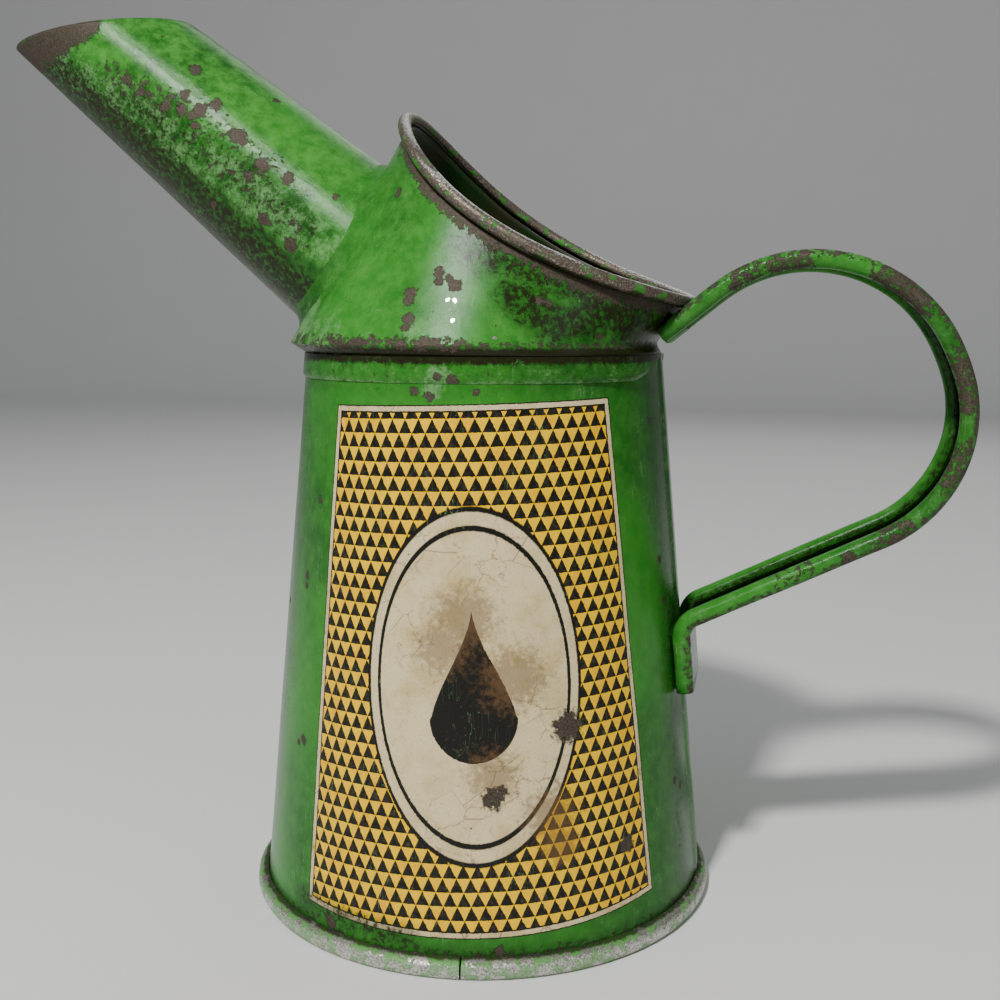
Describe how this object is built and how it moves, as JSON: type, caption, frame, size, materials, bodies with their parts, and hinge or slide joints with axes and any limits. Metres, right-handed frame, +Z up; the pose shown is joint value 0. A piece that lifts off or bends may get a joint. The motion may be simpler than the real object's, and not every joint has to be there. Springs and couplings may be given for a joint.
{
  "type": "oil pouring jug",
  "caption": "Tapered tinplate oil jug with a recessed bottom, a hood with a sloped open mouth, a wide slanted spout and a rolled-edge handle.",
  "frame": {"origin": "centre of the round foot, on the surface it stands on", "axes": "+Z up; the spout points to -X and the handle to +X; +Y is the side away from the printed panel"},
  "size_m": [0.2179, 0.1068, 0.1975],
  "materials": {
    "body_paint": "gloss enamel, scratched",
    "hood_paint": "gloss enamel, chipped",
    "spout_paint": "gloss enamel, scuffed",
    "collar_paint": "worn enamel",
    "handle_paint": "worn enamel",
    "worn_rim": "enamel worn through to bright tin",
    "bare_steel": "worn and tarnished",
    "bare_tin": "dull tinplate",
    "wire": "plain drawn wire",
    "solder": "dull grey solder"
  },
  "bodies": {
    "root": {"body_shell": "body_paint", "base_disc": "bare_tin", "foot_ring": "worn_rim", "collar_strip": "collar_paint", "hood": "hood_paint", "mouth_bead": "bare_steel", "mouth_wire": "wire", "spout": "spout_paint", "spout_solder": "solder", "handle_strip": "handle_paint", "handle_wires": "wire", "handle_top_solder": "solder", "handle_foot_solder": "solder"}
  },
  "joints": []
}
